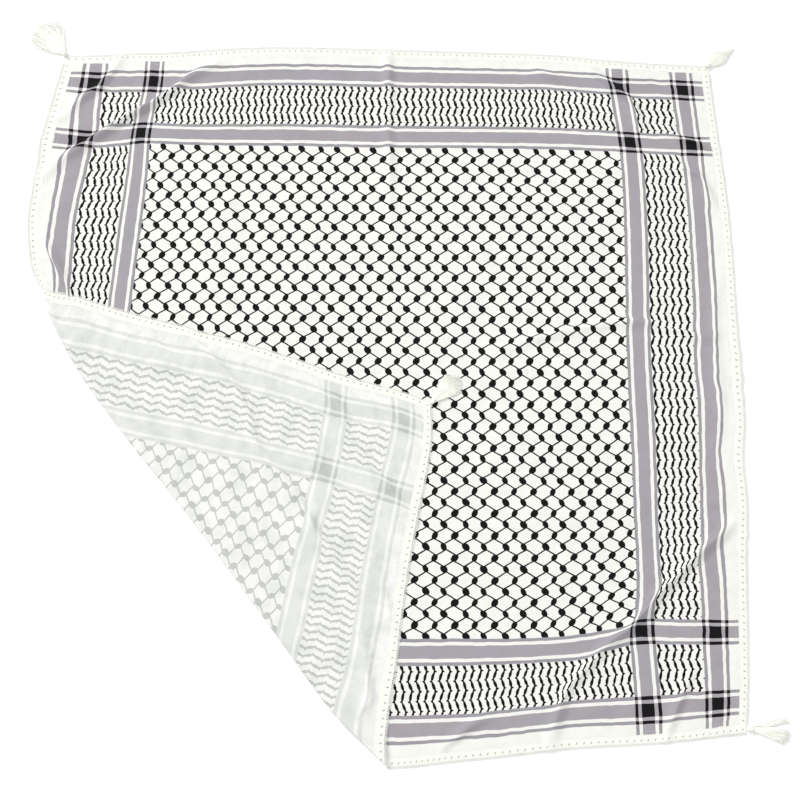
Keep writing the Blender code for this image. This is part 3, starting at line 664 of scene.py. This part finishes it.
# The sewing: white cotton thread. One row of short stitches holds the rolled hem down, and a zigzag
# joins the lace to the cloth's edge. Both show on the right side and on the wrong side.
EDGES = ("top", "right", "bottom", "left")
STITCH_RADIUS = 0.00014
HEM_STITCH_PITCH = 0.0035
HEM_STITCH_LENGTH = 0.0024
HEM_STITCH_FROM_FOLD = 0.0008
HEM_STITCH_ARCH = 0.0001
ZIGZAG_PITCH = 0.0030
ZIGZAG_HALF = 0.0012
STITCH_HEIGHT = 0.00028


def on_edge(edge, along, out):
    """Places along one edge, with out counted from the lace's inner line towards the edge."""
    far = SIDE - LACE_WIDTH + out
    near = LACE_WIDTH - out
    return np.column_stack({
        "top": (along, far), "right": (far, along), "bottom": (along, near), "left": (near, along),
    }[edge])


def tube(points, radii, sides, closed=False):
    """A tube through the points, as points and faces. Radii are across and upwards. It is capped."""
    points = np.asarray(points, float)
    if closed:
        ahead = np.roll(points, -1, axis=0) - np.roll(points, 1, axis=0)
    else:
        ahead = np.gradient(points, axis=0)
    ahead /= np.linalg.norm(ahead, axis=1, keepdims=True)
    across = np.cross(ahead, (0, 0, 1.0))
    across /= np.linalg.norm(across, axis=1, keepdims=True)
    over = np.cross(ahead, across)
    radii = np.broadcast_to(radii, (len(points), 2))
    rings = []
    for point, side, top, radius in zip(points, across, over, radii):
        for number in range(sides):
            angle = math.tau * (number + 0.5) / sides
            rings.append(point + radius[0] * math.cos(angle) * side + radius[1] * math.sin(angle) * top)
    faces = []
    for ring in range(len(points) - (0 if closed else 1)):
        after = (ring + 1) % len(points)
        for number in range(sides):
            nearby = (number + 1) % sides
            faces.append((ring * sides + number, ring * sides + nearby, after * sides + nearby,
                          after * sides + number))
    if not closed:
        faces.append(tuple(reversed(range(sides))))
        faces.append(tuple(len(rings) - sides + number for number in range(sides)))
    return rings, faces


def joined(parts):
    """Several (points, faces) as one."""
    points, faces = [], []
    for more, rows in parts:
        faces += [tuple(len(points) + i for i in row) for row in rows]
        points += list(more)
    return points, faces


def new_tree(name, **kinds):
    """An empty tree of geometry nodes with the named inputs, and its input node."""
    tree = bpy.data.node_groups.new(name, "GeometryNodeTree")
    for label, kind in {"Geometry": "Geometry", **kinds}.items():
        tree.interface.new_socket(label, in_out="INPUT", socket_type=f"NodeSocket{kind}")
    tree.interface.new_socket("Geometry", in_out="OUTPUT", socket_type="NodeSocketGeometry")
    return tree, add(tree, "NodeGroupInput")


def finish_tree(tree, given, shapes):
    """Ends the tree with its material and its output."""
    finish = {"Geometry": shapes, "Material": given.outputs["Finish"]}
    add(tree, "NodeGroupOutput", (add(tree, "GeometryNodeSetMaterial", finish),))
    return tree


def repeat_tree(name):
    """Geometry nodes that set out one shape in a row along X and make it a single mesh."""
    tree, given = new_tree(name, Shape="Object", Count="Int", Pitch="Float", Finish="Material")
    step = add(tree, "ShaderNodeCombineXYZ", (given.outputs["Pitch"], 0.0, 0.0))
    row = add(tree, "GeometryNodeMeshLine", {"Count": given.outputs["Count"], "Offset": step})
    shape = add(tree, "GeometryNodeObjectInfo", (given.outputs["Shape"],))
    placed = add(
        tree, "GeometryNodeInstanceOnPoints", {"Points": row, "Instance": shape.outputs["Geometry"]}
    )
    real = add(tree, "GeometryNodeRealizeInstances", (placed,))
    welded = add(tree, "GeometryNodeMergeByDistance", {"Geometry": real, "Distance": 0.00001})
    return finish_tree(tree, given, welded)


ROW_OF_SHAPES = repeat_tree("row of one shape")


def run_tree(tree, **values):
    """The mesh that a geometry node tree makes from its named inputs."""
    carrier = mesh_object("carrier", [], [])
    modifier = carrier.modifiers.new("tree", "NODES")
    modifier.node_group = tree
    for socket in tree.interface.items_tree:
        if socket.name in values:
            modifier[socket.identifier] = values[socket.name]
    seen = carrier.evaluated_get(bpy.context.evaluated_depsgraph_get())
    mesh = bpy.data.meshes.new_from_object(seen)
    carrier.modifiers.remove(modifier)
    bpy.data.objects.remove(carrier, do_unlink=True)
    return mesh


def row_along(edge, shape, count, pitch, start, end, material):
    """A row of one flat shape, laid on the cloth along an edge, as points and faces."""
    sample = mesh_object("sample", *shape)
    mesh = run_tree(ROW_OF_SHAPES, Shape=sample, Count=count, Pitch=pitch, Finish=material)
    bpy.data.objects.remove(sample, do_unlink=True)
    flat = np.empty(len(mesh.vertices) * 3)
    mesh.vertices.foreach_get("co", flat)
    flat = flat.reshape(-1, 3)
    along = start + flat[:, 0] * (end - start) / (count * pitch)
    points = on_cloth(on_edge(edge, along, flat[:, 1]), flat[:, 2])
    faces = [tuple(face.vertices) for face in mesh.polygons]
    if edge in ("right", "bottom"):
        faces = [tuple(reversed(face)) for face in faces]
    bpy.data.meshes.remove(mesh)
    return points, faces


def thread_material(name, colour, shade, roughness, twist, bump_strength):
    """Spun cotton thread: matt, its colour a little deeper here and there, its twist as relief."""
    material, tree, shader = new_material(name, roughness, specular=0.3, sheen=0.1)
    where = add(tree, "ShaderNodeTexCoord").outputs["Object"]
    patches = add(tree, "ShaderNodeTexNoise", {"Vector": where, "Scale": 60.0, "Detail": 5.0})
    tint = add(tree, "ShaderNodeValToRGB", (patches,), stops=((0.3, shade), (0.62, colour)))
    tree.links.new(tint.outputs[0], shader.inputs["Base Color"])
    strands = add(tree, "ShaderNodeTexNoise", {"Vector": where, "Scale": 1 / twist, "Detail": 3.0})
    bump = add(tree, "ShaderNodeBump", {"Strength": bump_strength, "Distance": 0.0003, "Height": strands})
    tree.links.new(bump.outputs[0], shader.inputs["Normal"])
    return material


SEWING_THREAD = thread_material("sewing thread, white cotton", "#FCFCF8", "#F6F6F0", 0.8, 0.0008, 0.3)


def hem_stitch():
    """One short stitch of each side of the hem."""
    x = HEM_STITCH_PITCH / 2 + np.linspace(-0.5, 0.5, 4) * HEM_STITCH_LENGTH
    y = HEM_STITCH_FROM_FOLD - HEM_DEPTH
    height = STITCH_HEIGHT + np.array([-0.3, 1, 1, -0.3]) * HEM_STITCH_ARCH
    return joined([
        tube([(a, y, HEM_LIFT + side * b) for a, b in zip(x, height)], STITCH_RADIUS, 3)
        for side in (1, -1)
    ])


def zigzag_stitch():
    """One turn of the zigzag, over both sides of the seam."""
    x = np.array([0, 0.25, 0.5, 0.75, 1]) * ZIGZAG_PITCH
    y = np.array([-1, 0, 1, 0, -1]) * ZIGZAG_HALF
    turns = []
    for side in (1, -1):
        rings, faces = tube([(a, b, side * STITCH_HEIGHT) for a, b in zip(x, y)], STITCH_RADIUS, 3)
        turns.append((rings, faces[:-2]))
    return joined(turns)


def build_stitches():
    rows = []
    start, end = LACE_WIDTH, SIDE - LACE_WIDTH
    for edge in EDGES:
        for shape, pitch in ((hem_stitch(), HEM_STITCH_PITCH), (zigzag_stitch(), ZIGZAG_PITCH)):
            count = round((end - start) / pitch)
            rows.append(row_along(edge, shape, count, pitch, start, end, SEWING_THREAD))
    return mesh_object("hem_and_seam_stitches", *joined(rows), SEWING_THREAD)


def close_and_smooth(piece):
    """Closes the ends of rows and shades the piece smooth."""
    work = bmesh.new()
    work.from_mesh(piece.data)
    bmesh.ops.holes_fill(work, edges=[edge for edge in work.edges if edge.is_boundary], sides=0)
    for face in work.faces:
        face.smooth = True
    work.to_mesh(piece.data)
    work.free()


stitches = build_stitches()
close_and_smooth(stitches)
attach(stitches, "root")

# The lace: a machine-made ivory cotton edging, 14 mm wide. A tape with a slanting eyelet in each
# repeat carries cords, and three picot loops in each repeat reach past the edge. It is sewn to the hem.
LACE_REPEAT = 0.0112
TAPE_UNDER_HEM = 0.0004
TAPE_TOP = 0.0126
TAPE_SCALLOP = 0.0009
TAPE_HALF = 0.00026
TAPE_GUARD = 0.05
EYELET = (0.0056, 0.0082)
EYELET_HALF = (0.0010, 0.0020)
EYELET_SLANT = math.radians(32)
EYELET_SIDES = 10
# The guard line, the tied ring and the sheet of painted shade that fills an eyelet, as shares of its own
# size
EYELET_GUARD = 1.35
RING_GROW = 1.25
SHADE_SHEET_GROW = 1.05
RING_HEIGHT = 0.00018
RING_RADIUS = 0.0003
CORDS_OUT = (0.0011, 0.0122)
CORD_RADII = (0.00046, 0.00022)
CORD_HEIGHT = 0.00012
CORD_WAVE = 0.00025
PICOT_RADII = (0.00078, 0.00026)
PICOT_HEIGHT = 0.0001
PICOT_SHARES = (1 / 6, 3 / 6, 5 / 6)
PICOT_HALF = 0.00125
PICOT_FOOT = 0.0116
PICOT_TOP = 0.0160
SHADE_SHEET_HALF = 0.00005
LACE_YARN = thread_material("lace, mercerised ivory cotton", "#F9FAF2", "#F4F5EC", 0.75, 0.0012, 0.20)
# Each eyelet holds one thin sheet in a dark grey ivory: painted shade, standing for the shadow down in
# the hole
EYELET_PAINTED_SHADE = thread_material("painted shade in the lace eyelets", "#C4C4B7", "#B9B9AC", 0.85, 0.0010, 0.4)


def eyelet_round(share, grow=1.0):
    """A point round the eyelet, at a share of a whole turn."""
    a = EYELET_HALF[0] * grow * math.cos(math.tau * share)
    b = EYELET_HALF[1] * grow * math.sin(math.tau * share)
    x = EYELET[0] + a * math.cos(EYELET_SLANT) - b * math.sin(EYELET_SLANT)
    return x, EYELET[1] + a * math.sin(EYELET_SLANT) + b * math.cos(EYELET_SLANT)


def tape_repeat():
    """One repeat of the tape round its eyelet, open at both ends, where the next ones join."""
    w, low, top = LACE_REPEAT, -TAPE_UNDER_HEM, TAPE_TOP
    sides = [(w, y) for y in np.linspace(low, top, 4)]
    sides += [
        (w * share, top + TAPE_SCALLOP * abs(math.sin(math.tau * share))) for share in (0.75, 0.5, 0.25)
    ]
    sides += [(0, y) for y in np.linspace(top, low, 4)]
    sides += [(w * share, low) for share in (0.25, 0.5, 0.75)]
    count = len(sides)
    shares = [
        math.atan2(y - EYELET[1], x - EYELET[0]) / math.tau - EYELET_SLANT / math.tau for x, y in sides
    ]
    # Guard lines close to the sides and to the hole keep the tape's flat faces evenly lit
    inner = [
        (x + (EYELET[0] - x) * TAPE_GUARD, y + (EYELET[1] - y) * TAPE_GUARD) for x, y in sides
    ]
    rim = [eyelet_round(share, EYELET_GUARD) for share in shares]
    hole = [eyelet_round(share) for share in shares]
    points = [(x, y, height) for height in (TAPE_HALF, -TAPE_HALF) for x, y in sides + inner + rim + hole]
    lower = 4 * count
    faces = []
    for i in range(count):
        j = (i + 1) % count
        for loop in (0, count, 2 * count):
            a, b, c, d = loop + i, loop + j, loop + count + j, loop + count + i
            faces += [(a, b, c, d), (lower + b, lower + a, lower + d, lower + c)]
        faces.append((d, c, lower + c, lower + d))
        if not (sides[i][0] == sides[j][0] and sides[i][0] in (0, w)):
            faces.append((j, i, lower + i, lower + j))
    return points, faces


def running_cord(out):
    """One repeat of a cord along the tape, waving a little."""
    route = [
        (LACE_REPEAT * share, out + CORD_WAVE * math.sin(2 * math.tau * share), CORD_HEIGHT)
        for share in np.linspace(0, 1, 7)
    ]
    rings, faces = tube(route, CORD_RADII, 4)
    return rings, faces[:-2]


def picot(middle):
    """One thread loop that stands out from the tape's edge."""
    route = []
    for share in np.linspace(0, 1, 10):
        angle = math.pi * share
        out = PICOT_FOOT + (PICOT_TOP - PICOT_FOOT) * math.sin(angle) ** 0.8
        route.append((middle - PICOT_HALF * math.cos(angle), out, PICOT_HEIGHT))
    return tube(route, PICOT_RADII, 4)


def eyelet_shade_sheet():
    """The thin closed sheet of painted shade that fills the eyelet."""
    n = EYELET_SIDES
    points = [
        (*eyelet_round(i / n, SHADE_SHEET_GROW), side * SHADE_SHEET_HALF) for side in (1, -1) for i in range(n)
    ]
    faces = [tuple(range(n)), tuple(reversed(range(n, 2 * n)))]
    faces += [(n + i, n + (i + 1) % n, (i + 1) % n, i) for i in range(n)]
    return points, faces


def lace_repeat():
    round_hole = [
        (*eyelet_round(-i / EYELET_SIDES, RING_GROW), RING_HEIGHT) for i in range(EYELET_SIDES)
    ]
    ring = tube(round_hole, RING_RADIUS, 4, closed=True)
    cords = [running_cord(out) for out in CORDS_OUT]
    loops = [picot(LACE_REPEAT * share) for share in PICOT_SHARES]
    return joined([tape_repeat(), ring, *cords, *loops])


def build_lace(edge):
    whole = edge in ("top", "bottom")
    start, end = (0.0, SIDE) if whole else (LACE_WIDTH, SIDE - LACE_WIDTH)
    count = round((end - start) / LACE_REPEAT)
    points, faces = row_along(edge, lace_repeat(), count, LACE_REPEAT, start, end, LACE_YARN)
    shade_sheets = row_along(edge, eyelet_shade_sheet(), count, LACE_REPEAT, start, end, EYELET_PAINTED_SHADE)
    piece = mesh_object(f"lace_edging_{edge}", *joined([(points, faces), shade_sheets]), LACE_YARN, EYELET_PAINTED_SHADE)
    # The faces of the sheets of painted shade take the second, dark grey material
    for face in list(piece.data.polygons)[len(faces):]:
        face.material_index = 1
    close_and_smooth(piece)
    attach(piece, "root")
    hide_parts(f"lace_{edge}")
    return piece


lace = [build_lace(edge) for edge in EDGES]

# The tassels: soft ivory cotton yarn, tied round into a small wrapped head at each corner of the lace
# and left loose. They lie on the table, and the folded corner's lies on the cloth.
TASSELS = (
    # name, corner (shares from left, from bottom), heading, length, shortest share, how far the packed
    # yarns fill its width and height, threads
    ("top_left", (0, 1), 132, 0.076, 0.60, 0.30, 300),
    ("top_right", (0.995, 1), 33, 0.060, 0.45, 0.85, 300),
    ("bottom_right", (1, 0.0065), -7, 0.066, 0.85, 0.88, 300),
    ("folded_corner", (0, 0), 42, 0.062, 0.75, 0.88, 340),
)
# Half the width and the height of each tassel, in millimetres, at even steps from head to tips
TASSEL_FORMS = {
    # name: half widths, heights
    "top_left": ((2.5, 16, 29, 40, 50), (2.6, 1.6, 1.1, 0.9, 0.8)),
    "top_right": ((4, 10, 12.5, 9, 3), (3.0, 3.0, 2.6, 1.8, 1.0)),
    "bottom_right": ((2.5, 5, 8, 12, 15), (3.0, 3.2, 2.6, 1.8, 1.2)),
    "folded_corner": ((3, 9, 15, 19, 21), (3.0, 2.8, 2.4, 1.8, 1.2)),
}
TASSEL_HEAD_RADIUS = 0.0045
TASSEL_HEAD_HALF_HEIGHT = 0.0032
HEAD_FROM_CORNER = 0.0034
NECK_TURNS = 4
NECK_FROM_HEAD = 0.0030
NECK_PITCH = 0.0007
NECK_HALF = (0.0034, 0.0027)
NECK_SLANT = 0.0003
NECK_THREAD = 0.00042
THREAD_RADIUS = 0.00030
THREAD_STEPS = 9
# How high the head and the threads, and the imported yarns, lie over what they rest on
THREADS_LIE_AT = 0.0003
BODY_LIES_AT = 0.0002
BODY_SHARES = (0.04, 0.74)
BODY_CLOSES_AT = 0.76
BODY_RINGS = 11
# How unevenly the threads are cut, and how far each one waves, drifts sideways and lifts
THREAD_CUT = (0.86, 1)
THREAD_SWAY = (0.0008, 0.0015, 0.0006)
THREAD_WAVES = 9
WAVE_PHASE = 4000
# The lower right tassel parts into a thin upper lock, which waves, and a full lower one
LOCK_FROM = 0.5
UPPER_LOCK_OUT = 0.008
UPPER_LOCK_WAVE = 0.001
LOWER_LOCK_OUT = -0.003
TASSEL_YARN = thread_material("tassel, soft ivory cotton yarn", "#FEFEF8", "#FCFCF3", 0.85, 0.0006, 0.2)


def threads_tree():
    """Geometry nodes that turn lines into round threads of one radius."""
    tree, given = new_tree(
        "threads along lines", Lines="Object", Radius="Float", Sides="Int", Finish="Material"
    )
    lines = add(tree, "GeometryNodeObjectInfo", (given.outputs["Lines"],))
    curves = add(tree, "GeometryNodeMeshToCurve", (lines.outputs["Geometry"],))
    ring = add(tree, "GeometryNodeCurvePrimitiveCircle", {
        "Resolution": given.outputs["Sides"], "Radius": given.outputs["Radius"],
    })
    thick = add(tree, "GeometryNodeInputNamedAttribute", {"Name": "thickness"}, data_type="FLOAT")
    threads = add(tree, "GeometryNodeCurveToMesh", {
        "Curve": curves, "Profile Curve": ring, "Scale": thick, "Fill Caps": True,
    })
    real = add(tree, "GeometryNodeRealizeInstances", (threads,))
    return finish_tree(tree, given, real)


THREADS_ALONG_LINES = threads_tree()


def tassel_body(name, length, fill):
    """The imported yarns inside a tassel, as one soft closed form under its loose threads."""
    half_widths, heights = np.array(TASSEL_FORMS[name]) / 1000
    knots = np.linspace(0, 1, len(half_widths))
    along = np.linspace(*BODY_SHARES, BODY_RINGS)
    closing = np.sqrt(np.clip(1 - (along / BODY_CLOSES_AT) ** 6, 0, 1))
    across = np.interp(along, knots, half_widths) * fill * closing
    upward = np.interp(along, knots, heights) * fill * closing / 2
    middle = np.column_stack([along * length, np.zeros(BODY_RINGS), upward + BODY_LIES_AT])
    return tube(middle, np.column_stack([across, upward]), 16)


def tassel_lines(name, length, shortest, threads, chance):
    """The middle line of every thread of a tassel, from its head along X."""
    half_widths, heights = np.array(TASSEL_FORMS[name]) / 1000
    knots = np.linspace(0, 1, len(half_widths))
    along = np.linspace(0, 1, THREAD_STEPS)
    lines = []
    for _ in range(threads):
        # The upper left tassel thins out towards its sides
        column = chance.triangular(-1.15, 0, 1.15) if name == "top_left" else chance.uniform(-1, 1)
        level = chance.uniform(0, 1) * math.sqrt(max(1 - column**2 * 0.9, 0.05))
        reach = length * (1 - (1 - shortest) * abs(column) ** 1.5) * chance.uniform(*THREAD_CUT)
        wave, drift, lift = chance.uniform(-1, 1, 3) * THREAD_SWAY
        x = along * reach
        width = np.interp(x / length, knots, half_widths)
        height = np.interp(x / length, knots, heights)
        curl = wave * np.sin(THREAD_WAVES * along + drift * WAVE_PHASE) * along + drift * along**2
        lowest = THREAD_RADIUS + THREADS_LIE_AT
        z = lowest + level * (height - 2 * THREAD_RADIUS) + lift * along * level
        y = column * width + curl
        if name == "bottom_right":
            upper = UPPER_LOCK_OUT * along + UPPER_LOCK_WAVE * np.sin(THREAD_WAVES * along)
            y += np.where(column > LOCK_FROM, upper, LOWER_LOCK_OUT * along)
        lines.append(np.column_stack([x, y, np.maximum(z, THREAD_RADIUS + BODY_LIES_AT)]))
    return lines


def add_tassel_head(work):
    """The tied head: a small ball of yarn with a few turns of thread round its neck."""
    middle = Vector((0, 0, TASSEL_HEAD_HALF_HEIGHT + THREADS_LIE_AT))
    squash = Matrix.Diagonal((TASSEL_HEAD_RADIUS, TASSEL_HEAD_RADIUS, TASSEL_HEAD_HALF_HEIGHT, 1))
    bmesh.ops.create_uvsphere(
        work, u_segments=24, v_segments=14, radius=1, matrix=Matrix.Translation(middle) @ squash
    )
    steps, sides = 16, 5
    for turn in range(NECK_TURNS):
        x = NECK_FROM_HEAD + NECK_PITCH * turn
        points = []
        for angle in math.tau * np.arange(steps) / steps:
            y = NECK_HALF[0] * math.cos(angle)
            z = NECK_HALF[1] * math.sin(angle)
            out = Vector((0, y, z)).normalized()
            for around in math.tau * np.arange(sides) / sides:
                shift = Vector((math.cos(around), 0, 0)) + out * math.sin(around)
                centre = Vector((x + NECK_SLANT * math.sin(angle), y, middle.z + z))
                points.append(work.verts.new(centre + shift * NECK_THREAD))
        for i in range(steps):
            here, after = i * sides, (i + 1) % steps * sides
            for side in range(sides):
                beside = (side + 1) % sides
                corners = (here + side, here + beside, after + beside, after + side)
                work.faces.new([points[corner] for corner in corners])


def build_tassel(number, row):
    name, corner, heading, length, shortest, fill, threads = row
    chance = np.random.default_rng(40 + number)
    lines = tassel_lines(name, length, shortest, threads, chance)
    points = np.vstack(lines)
    edges = [(i, i + 1) for i in range(len(points) - 1) if (i + 1) % THREAD_STEPS]
    guide = mesh_object("lines", points, [], edges=edges)
    swell = guide.data.attributes.new("thickness", "FLOAT", "POINT")
    taper = np.tile(np.interp(np.linspace(0, 1, THREAD_STEPS), (0, 0.7, 1), (1.1, 1, 0.55)), threads)
    swell.data.foreach_set("value", taper.astype(np.float32))
    made = run_tree(THREADS_ALONG_LINES, Lines=guide, Radius=THREAD_RADIUS, Sides=4, Finish=TASSEL_YARN)
    bpy.data.objects.remove(guide, do_unlink=True)
    work = bmesh.new()
    work.from_mesh(made)
    points, faces = tassel_body(name, length, fill)
    corners = [work.verts.new(point) for point in points]
    for row in faces:
        work.faces.new([corners[i] for i in row])
    add_tassel_head(work)
    tip = Vector(lay([(corner[0] * SIDE, corner[1] * SIDE)])[0])
    turn = Matrix.Rotation(math.radians(heading), 4, "Z")
    place = tip + turn @ Vector((HEAD_FROM_CORNER, 0, 0))
    place.z = tip.z - CLOTH / 2
    bmesh.ops.transform(work, matrix=Matrix.Translation(place) @ turn, verts=work.verts)
    for face in work.faces:
        face.smooth = True
    work.to_mesh(made)
    work.free()
    piece = new_object(f"thread_tassel_{name}", made)
    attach(piece, "root")
    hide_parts(f"tassel_{name}")
    return piece


tassels = [build_tassel(number, row) for number, row in enumerate(TASSELS)]

# The studio: a plain white table top, large soft lights and the camera, nearly overhead. The top lies
# a little below the cloth, so that the two never share a plane.
FLOOR_HALF = 6.0
FLOOR_Z = -0.0002


def build_floor():
    corners = [(x * FLOOR_HALF, y * FLOOR_HALF, FLOOR_Z) for x, y in ((-1, -1), (1, -1), (1, 1), (-1, 1))]
    material, _, shader = new_material("table top, white laminate", roughness=0.9, specular=0.1)
    shader.inputs["Base Color"].default_value = linear("#FEFEFE")
    floor = mesh_object("table_top", corners, [(0, 1, 2, 3)], material)


def add_light(name, place, size, power):
    """A round soft light that points at the middle of the scarf."""
    light = bpy.data.lights.new(name, "AREA")
    light.shape = "DISK"
    light.size = size
    light.energy = power
    holder = new_object(name, light)
    holder.location = place
    holder.rotation_euler = (-Vector(place)).to_track_quat("-Z", "Y").to_euler()


build_floor()
add_light("soft light, upper left", (-5.1, 4.5, 4.5), size=3.2, power=425)
add_light("soft light, overhead", (1.0, -0.9, 4.2), size=4.0, power=74)
world = bpy.context.scene.world or bpy.data.worlds.new("studio")
bpy.context.scene.world = world
world.use_nodes = True
background = world.node_tree.nodes["Background"]
background.inputs["Color"].default_value = (1, 1, 1, 1)
background.inputs["Strength"].default_value = 0.44

lens = bpy.data.cameras.new("camera")
lens.lens = 45
lens.sensor_width = 36
camera = new_object("camera", lens)
camera.location = (0.0095, -0.3498, 1.5714)
camera.rotation_euler = (math.radians(11.404), math.radians(-0.953), math.radians(0.368))
bpy.context.scene.camera = camera
bpy.context.scene.view_settings.view_transform = "Standard"
